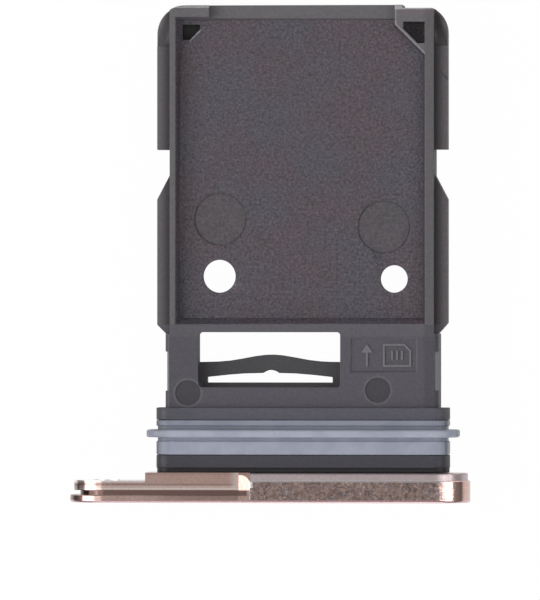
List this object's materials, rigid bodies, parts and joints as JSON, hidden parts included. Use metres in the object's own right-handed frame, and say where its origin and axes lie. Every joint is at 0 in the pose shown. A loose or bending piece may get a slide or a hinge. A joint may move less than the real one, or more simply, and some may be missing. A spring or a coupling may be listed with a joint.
{
  "type": "sim card tray",
  "caption": "Slim moulded tray that carries one nano-size sim card into a phone, with a pill-shaped metal head, an eject-pin hole and a silicone seal round its neck.",
  "frame": {"origin": "middle of the head's outer face, which lies flush with the phone's side", "axes": "+X along the head away from the eject hole, +Y from the outer face to the tail, the way the tray goes into the phone, +Z out of the face that the picture shows"},
  "size_m": [0.0146, 0.0181, 0.0028],
  "materials": {
    "head_metal": "rose-gold anodised, fine blasted",
    "frame_plastic": "dark grey, fine spark-eroded grain",
    "seal_silicone": "blue-grey silicone, satin"
  },
  "bodies": {
    "root": {"head": "head_metal", "tray_frame": "frame_plastic", "seal_ring": "seal_silicone"}
  },
  "joints": []
}
